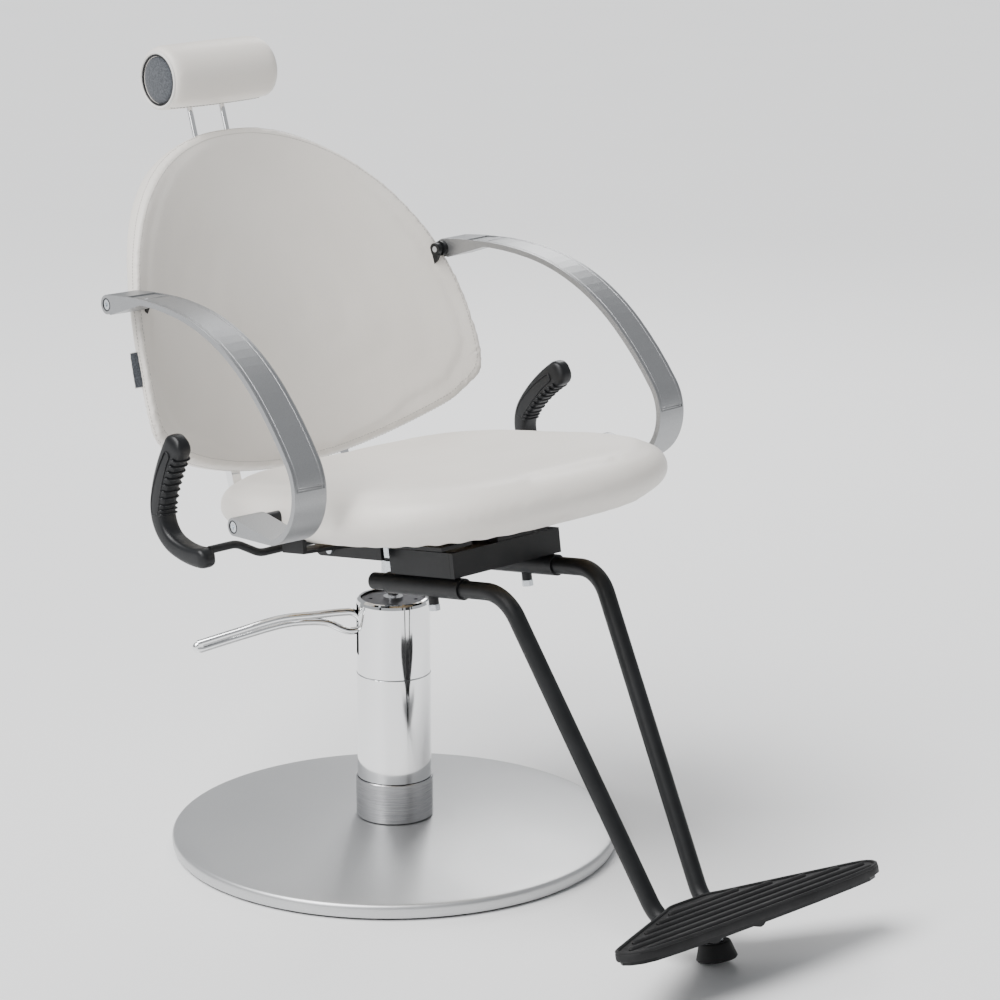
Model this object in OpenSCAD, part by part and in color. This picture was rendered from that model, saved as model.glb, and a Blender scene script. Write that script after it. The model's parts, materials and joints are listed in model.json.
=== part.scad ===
// Styling chair: round base, pump column, seat unit that swivels, lifts and tilts, sliding footrest.
// Origin: on the floor at the column axis. +Z is up, -Y is the front, +X is the sitter's left.

/* [Base and column] */
// radius of the floor disc
base_radius = 290; // [270:5:310]
// radius of the brushed ring round the column foot
ring_radius = 50; // [49.5:0.5:54]
// radius of the upper chrome shroud
shroud_radius = 47.5; // [47:0.25:48.5]
// height of the upper shroud's rim
shroud_top = 331; // [330:0.5:332]
// travel of the pump lift
lift_travel = 150; // [100:5:150]

/* [Seat] */
// half width of the seat cushion
seat_half_width = 255; // [245:5:256]
// pitch of the seat frame, front edge up
seat_pitch = 8.3; // [8.1:0.1:8.5]

/* [Back] */
// recline of the back
back_recline = 17.5; // [17.3:0.1:17.7]
// widest half width of the back
back_half_width = 278; // [274:1:280]

/* [Arms] */
// width of the arm band
arm_width = 46; // [42:1:46]
// thickness of the arm band
arm_thick = 7; // [6:0.5:8]
// outward splay of each arm toward the front
arm_splay = 3.4; // [3.3:0.1:3.5]

/* [Footrest] */
// radius of the footrest tubes
tube_radius = 11; // [10:0.5:11]
// slope of the footplate, front edge up
plate_slope = 12.8; // [12.7:0.1:12.9]

/* [Hidden] */
$fn = 64;
run_gap = 0.05;
fit_gap = 0.3;
skin = 0.05;
lap = 1.5;
seat_origin = [0, -65, 438];
back_origin = [0, 181, 470];
pin_v = 67.8;
pin_w = -14.4;
pin_radius = 6;
rod_radius = 7;
pedal_heading = 148;
pedal_pivot = [34, 294];
sleeve_x = 79;
sleeve_w = -57;
sleeve_radius = 13.5;
clamp_v = -91;
board_low = 14;
board_high = 24;
shaft_w = 7;
shaft_radius = 5;
arm_mid = 290;
upper_bolt = [187, 726];
lower_bolt = [-74.5, 496.5];
arm_arcs = [[468, 19.5], [295, 34], [450, 12], [70, 36], [70, 55], [60, 20]];
foot_y = -38.7;
headrest_axis = [526, -19];
headrest_radius = 45;
headrest_half = 86;
headrest_rod_x = 26.7;
headrest_rod_n = -41;

// Draws children in the pitched seat frame: x sideways, y to the rear, z up from the rail tops.
module in_seat() {
  translate(seat_origin) rotate([-seat_pitch, 0, 0]) children();
}

// Draws children in the reclined back frame: y is the facing direction reversed, z runs up the back.
module in_back() {
  translate(back_origin) rotate([-back_recline, 0, 0]) children();
}

// Draws children in one arm's own vertical plane, x measured outward from the band's mid-plane.
module in_arm(side) {
  translate([side * arm_mid, 0, 0]) rotate([0, 0, side * arm_splay]) children();
}

// Draws children in the sloped footplate frame, origin at the middle of its rear top edge.
module in_plate() {
  translate([0, -525.7, 66.6]) rotate([-plate_slope, 0, 0]) children();
}

// Extrudes a (y, z) outline sideways.
module along_x(width) {
  rotate([90, 0, 90]) linear_extrude(width, center = true) children();
}

// Cylinder along X, centred.
module x_rod(radius, length) {
  rotate([0, 90, 0]) cylinder(r = radius, h = length, center = true);
}

// Points of one tangent arc: start point, start heading, radius, left turn.
function arc(p, h, r, turn) = let (n = max(2, ceil(turn / 3)))
  [for (i = [1 : n]) let (a = h + turn * i / n)
    [p[0] + r * (sin(a) - sin(h)), p[1] + r * (cos(h) - cos(a)), a]];

// Points of a chain of tangent arcs.
function arc_chain(p, h, arcs, i = 0) = i >= len(arcs) ? [] :
  let (now = arc(p, h, arcs[i][0], arcs[i][1]))
  concat(now, arc_chain(now[len(now) - 1], h + arcs[i][1], arcs, i + 1));

// Shifts chain points to the left of their heading.
function shifted(chain, d) = [for (q = chain) [q[0] - d * sin(q[2]), q[1] + d * cos(q[2])]];
function backwards(list) = [for (i = [len(list) - 1 : -1 : 0]) list[i]];

arm_start = [190, 735];
arm_chain = concat([[190, 735, 168.5]], arc_chain(arm_start, 168.5, arm_arcs));
inlay_chain = [for (q = arm_chain) if (q[2] > 172 && q[2] < 266) q];

// Half outline of a superellipse quadrant, angles 0 to 90.
function quadrant(a, b, n, steps = 14) = [for (i = [0 : steps]) let (t = 90 * i / steps)
  [a * pow(abs(cos(t)), 2 / n), b * pow(abs(sin(t)), 2 / n)]];

// Soft edge profile: pairs of inset from the widest line and height.
soft_edge = [[70, 14], [40, 19], [20, 25], [8, 33], [2, 42], [0, 52], [2, 64], [8, 74], [20, 82],
  [45, 86]];
seat_mid_v = -52;
seat_front = 245;
seat_rear = 241;

function seat_taper(v) = v > 0 ? 1 - 0.07 * v / seat_rear : 1;
function seat_half() = concat(
  [for (q = backwards(quadrant(seat_half_width, seat_front, 2.7))) [q[0], seat_mid_v - q[1]]],
  [for (q = quadrant(seat_half_width, seat_rear, 4.6)) [q[0] * seat_taper(q[1]), seat_mid_v + q[1]]]);
seat_plan = concat(seat_half(), [for (q = backwards(seat_half())) [-q[0], q[1]]]);

// Half outline of the back in (x, height) with rounded lower corners.
back_mid = 108;
back_top = 340;
function back_bottom(s) = 8 + s * s / 1360;
corner_r = 30;
corner = [back_half_width - corner_r, 94];
back_half = concat(
  [for (s = [0 : 31 : 248]) [s * (corner[0] - 12) / 248, back_bottom(s * (corner[0] - 12) / 248)]],
  [for (a = [-60 : 20 : -20]) [corner[0] + corner_r * cos(a), corner[1] + corner_r * sin(a)]],
  [for (q = quadrant(back_half_width, back_top, 2.1, 22)) [q[0], back_mid + q[1]]]);
back_plan = concat(back_half, [for (q = backwards(back_half)) [-q[0], q[1]]]);
function front_face(s) = -s * s / 920;
function rear_face(s) = 45 - 112 * pow(s / 278, 2);
back_s = [-288 : 24 : 288];

// Extrudes the back outline through its depth and keeps the children that lie inside.
module back_block(inset) {
  translate([0, 60, 0]) rotate([90, 0, 0]) linear_extrude(220) {
    polygon([for (q = back_plan) [q[0] * (1 - inset / 278), 228 + (q[1] - 228) * (1 - inset / 220)]]);
  }
}

// A curved slab of the back between two depth offsets from the front curve.
module back_slab(near, far) {
  translate([0, 0, -20]) linear_extrude(500) {
    polygon(concat([for (s = back_s) [s, front_face(s) + near]],
      [for (s = backwards([for (t = back_s) t])) [s, front_face(s) + far]]));
  }
}

// Everything in front of the rear surface of the back, which thins toward the top edge.
module back_rear_limit() {
  translate([0, 0, -20]) linear_extrude(500) {
    polygon(concat([for (s = back_s) [s, rear_face(s)]], [[288, -130], [-288, -130]]));
  }
}

module back_top_limit() {
  along_x(600) polygon([[-130, -20], [28, -20], [45, 60], [45, 300], [34, 330], [17, 460], [-130, 460]]);
}

module back_solid(near, far) {
  intersection() {
    back_block(0);
    back_slab(near, far);
    back_rear_limit();
    back_top_limit();
  }
}

module floor_pad() {
  color("black") cylinder(r = 283, h = 3);
}

module base_plate() {
  color("dimgray") difference() {
    translate([0, 0, 3.1]) cylinder(r = 284, h = 7.9);
    translate([0, 0, 2]) cylinder(r = 22.2, h = 12);
  }
}

module base_cover() {
  color("silver") rotate_extrude($fn = 96) {
    polygon([[base_radius - 3, 3.1], [base_radius - 1, 6], [base_radius, 11], [base_radius - 0.5, 16],
      [base_radius - 3, 19.5], [base_radius - 8, 21.2], [200, 28.5], [120, 33.5], [52, 36.7],
      [22.2, 36.7], [22.2, 34.2], [52, 34.2], [120, 31], [200, 26], [base_radius - 9, 18.7],
      [base_radius - 4.4, 16.6], [base_radius - 3, 11], [base_radius - 5, 3.1]]);
  }
}

module base_collar() {
  color("lightgray") rotate_extrude() {
    polygon([[22.2, 37.7], [ring_radius - 1, 37.7], [ring_radius, 38.7], [ring_radius, 89.6],
      [ring_radius - 1, 90.6], [22.2, 90.6]]);
  }
}

module pump_cylinder() {
  color("gray") difference() {
    translate([0, 0, 11.2]) cylinder(r = 22, h = 299.8);
    translate([0, 0, 40]) cylinder(r = 15, h = 258);
    translate([0, 0, 290]) cylinder(r = rod_radius + run_gap, h = 30);
  }
}

module lower_shroud() {
  color("gainsboro") rotate_extrude() {
    polygon([[45.5, 91.6], [48, 91.6], [48, 230.4], [46, 231.4], [45.5, 231.4]]);
  }
}

// Slot in which the pedal swings.
module pedal_slot(height_low, height_high) {
  rotate([0, 0, pedal_heading]) translate([24, -9, height_low]) {
    cube([40, 18, height_high - height_low]);
  }
}

module upper_shroud() {
  color("gainsboro") difference() {
    rotate_extrude() {
      polygon([[45, 232], [shroud_radius, 232], [shroud_radius, shroud_top - 6],
        [shroud_radius - 1, shroud_top - 2.5], [shroud_radius - 3, shroud_top - 0.6],
        [shroud_radius - 5.5, shroud_top], [shroud_radius - 6, shroud_top - 1],
        [shroud_radius - 4, shroud_top - 4], [45, shroud_top - 7]]);
    }
    pedal_slot(257, 324);
  }
}

module pump_head() {
  color("dimgray") difference() {
    translate([0, 0, 255]) cylinder(r = 44.6, h = 64);
    translate([0, 0, 250]) cylinder(r = 22.2, h = 80);
    pedal_slot(250, 330);
    rotate([0, 0, pedal_heading]) translate([pedal_pivot[0], 0, pedal_pivot[1]]) {
      rotate([90, 0, 0]) cylinder(r = 4, h = 52, center = true);
    }
  }
}

module column_cap() {
  color("dimgray") difference() {
    translate([0, 0, 322]) cylinder(r = 41, h = 5.5);
    translate([0, 0, 320]) cylinder(r = 10.1, h = 10);
    for (a = [45 : 90 : 315]) rotate([0, 0, a]) translate([29, 0, 325]) cylinder(r = 3, h = 4, $fn = 6);
  }
}

module rod_seal() {
  color("gainsboro") difference() {
    union() {
      translate([0, 0, 321]) cylinder(r = 10, h = 8);
      translate([0, 0, 327.6]) cylinder(r = 12.5, h = 4);
    }
    translate([0, 0, 318]) cylinder(r = rod_radius + run_gap, h = 20);
  }
}

module pedal_pin() {
  color("gray") rotate([0, 0, pedal_heading]) translate([pedal_pivot[0], 0, pedal_pivot[1]]) {
    rotate([90, 0, 0]) cylinder(r = 4, h = 50, center = true);
  }
}

// Signed turn from one heading to the next, between -180 and 180.
function turn_of(a, b) = (b - a + 540) % 360 - 180;
function heading(p, q) = atan2(q[1] - p[1], q[0] - p[0]);

// Round bar along a planar path of points, with true bends of one radius at the inner points.
module wire(points, radius, bend) {
  n = len(points);
  heads = [for (i = [0 : n - 2]) heading(points[i], points[i + 1])];
  turns = [for (i = [1 : n - 2]) turn_of(heads[i - 1], heads[i])];
  cuts = concat([0], [for (t = turns) bend * tan(abs(t) / 2)], [0]);
  for (i = [0 : n - 2]) {
    along = [cos(heads[i]), sin(heads[i])];
    before = i > 0 ? lap : 0;
    after = i < n - 2 ? lap : 0;
    start = points[i] + (cuts[i] - before) * along;
    length = norm(points[i + 1] - points[i]) - cuts[i] - cuts[i + 1] + before + after;
    translate(start) rotate([0, 0, heads[i]]) rotate([0, 90, 0]) cylinder(r = radius - skin, h = length);
  }
  for (i = [1 : n - 2]) {
    a = heads[i - 1];
    t = turns[i - 1];
    side = t > 0 ? 1 : -1;
    start = points[i] - cuts[i] * [cos(a), sin(a)];
    translate(start + side * bend * [-sin(a), cos(a)]) {
      rotate([0, 0, t > 0 ? a - 90 : a + 90 + t]) rotate_extrude(angle = abs(t)) {
        translate([bend, 0]) circle(r = radius, $fn = 32);
      }
    }
  }
}

module pump_pedal() {
  color("gainsboro") rotate([0, 0, pedal_heading]) difference() {
    union() {
      translate([pedal_pivot[0], 0, pedal_pivot[1]]) rotate([90, 0, 0]) {
        cylinder(r = 9, h = 14, center = true);
      }
      rotate([90, 0, 0]) {
        wire([[36, 296], [54, 313.5], [148, 309], [250, 281.5]], 5, 18);
        wire([[37, 290], [62, 287], [86, 301], [146, 300.6], [249, 273.8]], 4.6, 18);
      }
      translate([126, -3.6, 299]) cube([14, 7.2, 11]);
      translate([251, 0, 277.6]) rotate([90, 0, 0]) cylinder(r = 9.2, h = 10.6, center = true);
    }
    translate([pedal_pivot[0], 0, pedal_pivot[1]]) rotate([90, 0, 0]) {
      cylinder(r = 4 + run_gap, h = 30, center = true);
    }
  }
}

module piston_rod() {
  color("gainsboro") {
    translate([0, 0, 48]) cylinder(r = 14.9, h = 24);
    translate([0, 0, 60]) cylinder(r = rod_radius, h = 303);
    translate([0, 0, 350]) cylinder(r = 6, h = 24);
  }
}

module swivel_hub() {
  color("silver") difference() {
    translate([0, 0, 363.1]) cylinder(r = 15, h = 17.9);
    translate([0, 0, 360]) cylinder(r = 6 + run_gap, h = 14.3);
  }
}

module hub_washer() {
  color("black") translate([0, 0, 381]) cylinder(r = 12.5, h = 5);
}

module head_block() {
  color("gray") difference() {
    union() {
      translate([0, 0, 386]) cylinder(r = 16, h = 6);
      translate([-20, -12, 391]) cube([40, 24, 23]);
      translate([0, 0, 414]) x_rod(12, 40);
    }
    translate([0, 0, 414]) x_rod(pin_radius, 60);
  }
}

module tilt_pin() {
  color("silver") translate([0, 0, 414]) x_rod(pin_radius, 215);
}

module chassis_box() {
  color("#202325") in_seat() difference() {
    translate([-90, -140, -42.4]) cube([180, 112, 31.4]);
    translate([-86, -150, -39]) cube([172, 118, 24.5]);
  }
}

module front_crossbar() {
  color("#202325") in_seat() {
    translate([-90, -147, -42.4]) cube([180, 6.8, 31.4]);
  }
}

module mechanism_cover() {
  color("#202325") in_seat() translate([-13, -146, -10.9]) cube([60, 60, 9]);
}

// Plate straddling the column, with a rounded lower rear corner.
module side_plate(side) {
  color("#202325") in_seat() difference() {
    translate([side * 102, 0, 0]) along_x(5) difference() {
      union() {
        translate([-30, -24]) square([116, 18.8]);
        translate([-30, -14]) square([128, 8.8]);
        translate([86, -12]) circle(r = 12);
      }
      translate([-40, -5.2]) square([150, 20]);
    }
    translate([side * 102, pin_v, pin_w]) x_rod(pin_radius + run_gap, 20);
  }
}

module side_plate_left() {
  side_plate(1);
}

module side_plate_right() {
  side_plate(-1);
}

module seat_rails() {
  color("#17191a") in_seat() for (side = [-1, 1]) translate([side * 85, -26.5, -2.55]) {
    cube([50, 249, 4.9], center = true);
  }
}

module seat_spacers() {
  color("#17191a") in_seat() for (side = [-1, 1]) for (v = [-145, 60]) {
    translate([side * 72, v, 0]) translate([-14, 0, 0]) cube([28, 34, board_low - 0.2]);
  }
}

module seat_board() {
  color("tan") in_seat() translate([0, 0, board_low]) linear_extrude(board_high - board_low) {
    polygon([for (q = seat_plan) [q[0] * 0.68, seat_mid_v + (q[1] - seat_mid_v) * 0.68]]);
  }
}

module seat_cushion() {
  v_low = seat_mid_v - seat_front;
  v_high = seat_mid_v + seat_rear;
  color("whitesmoke") difference() {
    in_seat() difference() {
      intersection() {
        linear_extrude(100) polygon(seat_plan);
        along_x(600) polygon(concat([for (e = soft_edge) [v_low + e[0], e[1]]],
          [for (e = backwards(soft_edge)) [v_high - e[0], e[1]]]));
        translate([0, seat_mid_v, 0]) rotate([90, 0, 0]) linear_extrude(600, center = true) {
          polygon(concat([for (e = soft_edge) [-seat_half_width + e[0], e[1]]],
            [for (e = backwards(soft_edge)) [seat_half_width - e[0], e[1]]]));
        }
      }
      translate([0, 0, -1]) linear_extrude(board_high + 1 + fit_gap) {
        polygon([for (q = seat_plan) [q[0] * 0.684, seat_mid_v + (q[1] - seat_mid_v) * 0.684]]);
      }
      for (side = [-1, 1]) translate([side * 229 - 3.4, -38.2, 0]) cube([6.8, 40.8, 71]);
    }
    for (side = [0, 1]) mirror([side, 0, 0]) in_arm(1) {
      translate([0, lower_bolt[0], lower_bolt[1]]) lower_socket();
    }
  }
}

// Space in the cushion for an arm's lower bolt and spacer.
module lower_socket() {
  x_rod(5.4, 160);
  translate([-60, 0, 0]) x_rod(9.3, 70);
}

// Middle line of a back upright: under the seat, one bend, then up along the back.
upright_low = 4.59;
upright_high = 90 - back_recline;
upright_bend = 30;
upright_knee = [172.9, 422.4];
upright_path = concat([[16, 409.8, upright_low], [172.9, 422.4, upright_low]],
  arc(upright_knee, upright_low, upright_bend, upright_high - upright_low),
  [[269, 665, upright_high]]);

module back_uprights() {
  color("silver") for (side = [-1, 1]) translate([side * 92.3, 0, 0]) along_x(14) {
    polygon(concat(shifted(upright_path, -6), backwards(shifted(upright_path, 6))));
  }
}

module upright_channels() {
  for (side = [-1, 1]) translate([side * 92.3 - 7.3, 18.7, -30]) cube([14.6, 60, 250]);
}

module back_board() {
  color("tan") in_back() intersection() {
    back_block(64);
    back_slab(18.4, 27.4);
  }
}

module back_cushion() {
  color("whitesmoke") difference() {
    in_back() difference() {
      back_solid(0, 18);
      for (side = [-1, 1]) translate([side * 92.3 - 7.3, 18.7, -30]) cube([14.6, 20, 250]);
      on_tag() translate([-5.3, -1.3, -22.3]) cube([9.6, 2.2, 44.6]);
    }
    arm_sockets();
  }
}

module back_pad() {
  color("whitesmoke") difference() {
    in_back() difference() {
      back_solid(18.2, 130);
      intersection() {
        back_block(63);
        back_slab(10, 27.9);
      }
      upright_channels();
      along_x(84.6) polygon([[34.7, 318.6], [33.8, 332], [26.1, 393], [60, 393], [60, 318.6]]);
    }
    arm_sockets();
  }
}

// Space for the arm washers and the tabs behind them.
module arm_sockets() {
  for (side = [0, 1]) mirror([side, 0, 0]) in_arm(1) translate([0, upper_bolt[0], upper_bolt[1]]) {
    translate([-22.5, 0, 0]) x_rod(10.3, 20);
    translate([-23.4, -78, -13]) cube([50, 92, 32]);
    translate([-36, 14, -5]) rotate([-60, 0, 0]) cube([7.6, 20.6, 54], center = true);
  }
}

// Place of the tag on the edge of the back.
module on_tag() {
  translate([-274.5, -74.5, 160]) rotate([0, 0, 29]) children();
}

module back_tag() {
  color("#222426") in_back() on_tag() translate([-5, -1, -22]) cube([9, 1.6, 44]);
}

module back_tabs() {
  color("gray") for (side = [0, 1]) mirror([side, 0, 0]) in_arm(1) {
    translate([-36, upper_bolt[0], upper_bolt[1]]) difference() {
      union() {
        x_rod(8.5, 6);
        translate([0, 13, -5]) rotate([-60, 0, 0]) cube([5, 17, 36], center = true);
      }
      x_rod(4, 20);
    }
  }
}

module headrest_clamp() {
  color("#202325") in_back() difference() {
    along_x(84) polygon([[35.2, 322], [34.2, 332], [26.5, 392], [47.5, 392], [49, 388], [49, 324],
      [47.5, 320.5]]);
    for (side = [-1, 1]) translate([side * headrest_rod_x, -headrest_rod_n, 300]) {
      cylinder(r = 4 + run_gap, h = 110);
    }
    for (h = [334, 378]) translate([0, 52, h]) rotate([90, 0, 0]) cylinder(r = 3.1, h = 40);
  }
}

module clamp_plate_screws() {
  color("silver") in_back() for (h = [334, 378]) translate([0, 49.1, h]) rotate([-90, 0, 0]) {
    difference() {
      union() {
        cylinder(r = 5.5, h = 3.5);
        translate([0, 0, -12]) cylinder(r = 3, h = 13);
      }
      translate([0, 0, 1.5]) cylinder(r = 2.6, h = 4, $fn = 6);
    }
  }
}

// One cast arm: a curved band with a thickened boss at each end and a recess for the inlay.
module arm(side) {
  outer = [for (q = arm_chain) [q[0], q[1]]];
  inner = shifted(arm_chain, arm_thick);
  last = len(arm_chain) - 1;
  color("#a7a9ac") in_arm(side) difference() {
    union() {
      along_x(arm_width) polygon(concat(outer, backwards(inner)));
      along_x(arm_width) polygon([outer[last], [-76, 485.7], [-70, 507], [-78, 507.3], inner[last]]);
      along_x(arm_width) polygon([[190, 738], [194, 716], [178, 714.5], [112, 737], [130, 743.4],
        [160, 741.4]]);
      translate([0, upper_bolt[0], upper_bolt[1]]) x_rod(12, arm_width);
      translate([0, lower_bolt[0], lower_bolt[1]]) x_rod(11, arm_width);
    }
    along_x(40.8) polygon(concat(shifted(inlay_chain, -6), backwards(shifted(inlay_chain, 1.2))));
    for (p = [upper_bolt, lower_bolt]) translate([0, p[0], p[1]]) {
      x_rod(4.1, 80);
      translate([arm_width / 2, 0, 0]) x_rod(8.2, 12);
    }
  }
}

module arm_left() {
  arm(1);
}

module arm_right() {
  mirror([1, 0, 0]) arm(1);
}

module arm_inlays() {
  inner = [for (i = [1 : len(inlay_chain) - 2]) inlay_chain[i]];
  color("#9b9da0") for (side = [0, 1]) mirror([side, 0, 0]) in_arm(1) {
    along_x(40) polygon(concat([for (q = inner) [q[0], q[1]]], backwards(shifted(inner, 1.1))));
  }
}

// Hexagon-socket bolts, heads outward in the arm bosses.
module arm_bolts() {
  color("silver") for (side = [0, 1]) mirror([side, 0, 0]) in_arm(1) {
    for (p = [[upper_bolt, 40], [lower_bolt, 68]]) translate([17, p[0][0], p[0][1]]) difference() {
      union() {
        rotate([0, 90, 0]) cylinder(r = 6.6, h = 5.6);
        rotate([0, -90, 0]) cylinder(r = 4, h = p[1] + 16);
      }
      translate([3, 0, 0]) rotate([0, 90, 0]) cylinder(r = 3, h = 4, $fn = 6);
    }
  }
}

module arm_washers() {
  color("black") for (side = [0, 1]) mirror([side, 0, 0]) in_arm(1) {
    translate([-26.2, upper_bolt[0], upper_bolt[1]]) spacer(10, 6);
    translate([-34, lower_bolt[0], lower_bolt[1]]) spacer(9, 22);
    for (p = [upper_bolt, lower_bolt]) translate([19.9, p[0], p[1]]) rotate([0, 90, 0]) difference() {
      cylinder(r = 8, h = 3.4);
      translate([0, 0, -1]) cylinder(r = 6.8, h = 6);
    }
  }
}

module spacer(radius, length) {
  difference() {
    x_rod(radius, length);
    x_rod(4.1, length + 2);
  }
}

module arm_brackets() {
  color("#202325") for (side = [0, 1]) mirror([side, 0, 0]) difference() {
    in_seat() {
      translate([0, 2, 0]) rotate([90, 0, 0]) linear_extrude(40) {
        polygon([[87, 0], [110, 0], [232, 8.6], [232, 70.4], [226, 70.4], [226, 12.2], [109, 4], [87, 4]]);
      }
    }
    in_arm(1) translate([0, lower_bolt[0], lower_bolt[1]]) x_rod(4, 180);
  }
}

module footrest_sleeves() {
  color("#202325") in_seat() for (side = [-1, 1]) translate([side * sleeve_x, 0, sleeve_w]) {
    difference() {
      union() {
        translate([0, -11, 0]) rotate([90, 0, 0]) cylinder(r = sleeve_radius, h = 139);
        translate([-5, -140, sleeve_radius - 3]) cube([10, 110, 4]);
        translate([0, clamp_v, -22]) cylinder(r = 6.5, h = 12);
      }
      translate([0, 0, 0]) rotate([90, 0, 0]) cylinder(r = tube_radius, h = 170);
      translate([0, clamp_v, -30]) cylinder(r = 4 + run_gap, h = 25);
    }
  }
}

module clamp_screw(side) {
  color("silver") in_seat() translate([side * sleeve_x, clamp_v, sleeve_w]) {
    translate([0, 0, -30]) cylinder(r = 7.5, h = 7.5, $fn = 6);
    translate([0, 0, -24]) cylinder(r = 4, h = 24 - tube_radius - 0.3);
  }
}

module clamp_screw_left() {
  clamp_screw(1);
}

module clamp_screw_right() {
  clamp_screw(-1);
}

left_shaft_v = 90;
right_shaft_v = 39.8;

module lever_bushes() {
  color("#2a2d2f") in_seat() {
    for (s = [[1, left_shaft_v], [-1, right_shaft_v]]) difference() {
      translate([s[0] * 98, s[1], shaft_w - 0.1]) cube([20, 22, 13.6], center = true);
      translate([s[0] * 98, s[1], shaft_w]) x_rod(shaft_radius, 40);
    }
  }
}

// Cranked lever shaft and plastic grip on the sitter's right.
module lever_right() {
  color("#1b1d1f") mirror([1, 0, 0]) {
    lever_shaft(in_seat_point(right_shaft_v, shaft_w), [-22, 457]);
    lever_grip([0, 0], 0);
  }
}

// The same grip on the sitter's left, hung further back and turned forward.
module lever_left() {
  color("#1b1d1f") {
    lever_shaft(in_seat_point(left_shaft_v, shaft_w), [32, 443]);
    lever_grip([53, -16], 24);
  }
}

function in_seat_point(v, w) = [
  seat_origin[1] + v * cos(seat_pitch) + w * sin(seat_pitch),
  seat_origin[2] - v * sin(seat_pitch) + w * cos(seat_pitch)];

// Bar that lies on the lever's axis in its bush and is cranked up to the grip.
module lever_shaft(axis, grip) {
  rise = norm(grip - axis);
  turn = atan2(grip[1] - axis[1], grip[0] - axis[0]);
  translate([0, axis[0], axis[1]]) rotate([turn, 0, 0]) {
    wire([[87, 0], [238, 0], [272, rise], [312, rise]], shaft_radius, 25);
  }
}

grip_hub = [-22, 451];
grip_arcs = [[120, 24], [44, 84], [210, 22]];
grip_chain = concat([[-20, 448, -6]], arc_chain([-20, 448], -6, grip_arcs));

// Curved grip: round hub, sweeping neck and a fuller hand part with ribs on its front edge.
grip_last = grip_chain[len(grip_chain) - 1];
function grip_edge(side) = [for (i = [0 : len(grip_chain) - 1])
  let (q = grip_chain[i], d = side * (12 + 3.5 * i / (len(grip_chain) - 1)))
  [q[0] - d * sin(q[2]), q[1] + d * cos(q[2])]];

module lever_grip(move, turn) {
  translate([320, grip_hub[0] + move[0], grip_hub[1] + move[1]]) rotate([turn, 0, 0]) {
    translate([0, -grip_hub[0], -grip_hub[1]]) difference() {
      along_x(26) {
        translate(grip_hub) circle(r = 14);
        polygon(concat(grip_edge(-1), backwards(grip_edge(1))));
        translate([grip_last[0], grip_last[1]]) circle(r = 15.5);
      }
      for (i = [1 : 7]) let (q = grip_edge(1)[len(grip_chain) - i]) {
        translate([0, q[0], q[1]]) x_rod(1.2, 22);
      }
    }
  }
}

// Footrest tube in the plane of its two bends: rear end, upper bend, lower bend, toe.
tube_path = [[18, 0], [-223.6, 0], [-396.9, -407.3], [-486.4, -400.2]];
tube_lean = 5.85;
toe_gap = 0.15;

module tube_run(side, radius) {
  in_seat() translate([side * sleeve_x, 0, sleeve_w]) rotate([0, side * tube_lean, 0]) {
    rotate([90, 0, 90]) wire(tube_path, radius, 50);
  }
}

module footrest_tube(side) {
  color("#1d1f21") tube_run(side, tube_radius);
}

module footrest_tube_left() {
  footrest_tube(1);
}

module footrest_tube_right() {
  footrest_tube(-1);
}

plate_half = [[0, 0], [30, 0], [40, -4.5], [50, -12], [205, -92], [214, -98], [218, -106],
  [215, -117], [205, -128], [188, -134.5], [150, -138], [80, -141], [0, -142]];
plate_outline = concat(plate_half, [for (q = backwards(plate_half)) [-q[0], q[1]]]);

module footplate_frame() {
  color("#1d1f21") difference() {
    in_plate() {
      translate([0, 0, -17]) linear_extrude(4.9) {
        polygon([for (q = plate_outline) [q[0] * 0.97, -71 + (q[1] + 71) * 0.95]]);
      }
      translate([0, foot_y, -30]) cylinder(r = 10, h = 14);
    }
    in_plate() translate([0, foot_y, -40]) cylinder(r = 5 + run_gap, h = 26);
    for (side = [-1, 1]) tube_run(side, tube_radius + toe_gap);
  }
}

module footplate_mat() {
  color("#191a1b") difference() {
    in_plate() {
      translate([0, 0, -12]) linear_extrude(9.6) polygon(plate_outline);
      for (i = [0 : 5]) {
        half = min(199 - 6 * max(0, i - 4), 58 + 39 * i);
        translate([-half, -34.6 - 19.2 * i, -3.4]) cube([2 * half, 7.2, 3.4]);
      }
    }
    for (side = [-1, 1]) tube_run(side, tube_radius + toe_gap);
  }
}

module foot_stud() {
  color("silver") in_plate() translate([0, foot_y, -53.5]) cylinder(r = 5, h = 38);
}

module foot_nut() {
  color("silver") in_plate() translate([0, foot_y, 0]) difference() {
    union() {
      translate([0, 0, -46.6]) cylinder(r = 8.5, h = 6, $fn = 6);
      translate([0, 0, -48.2]) cylinder(r = 11, h = 1.7);
    }
    translate([0, 0, -50]) cylinder(r = 5, h = 20);
  }
}

module rubber_foot() {
  color("#151515") in_plate() translate([0, foot_y, -70.3]) difference() {
    rotate_extrude() polygon([[0, 0], [23.5, 0], [25, 2], [19.5, 20], [18, 22], [0, 22]]);
    translate([0, 0, 16.5]) cylinder(r = 5, h = 10);
  }
}

module headrest_rods() {
  color("gainsboro") in_back() for (side = [-1, 1]) {
    translate([side * headrest_rod_x, -headrest_rod_n, 319]) cylinder(r = 4, h = 200);
  }
}

// Draws children along the headrest's own axis, which runs sideways.
module on_headrest() {
  in_back() translate([0, -headrest_axis[1], headrest_axis[0]]) rotate([0, 90, 0]) children();
}

module headrest_core() {
  color("tan") difference() {
    on_headrest() cylinder(r = 33, h = 150, center = true);
    in_back() for (side = [-1, 1]) translate([side * headrest_rod_x, -headrest_rod_n, 319]) {
      cylinder(r = 4, h = 200);
    }
  }
}

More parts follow.
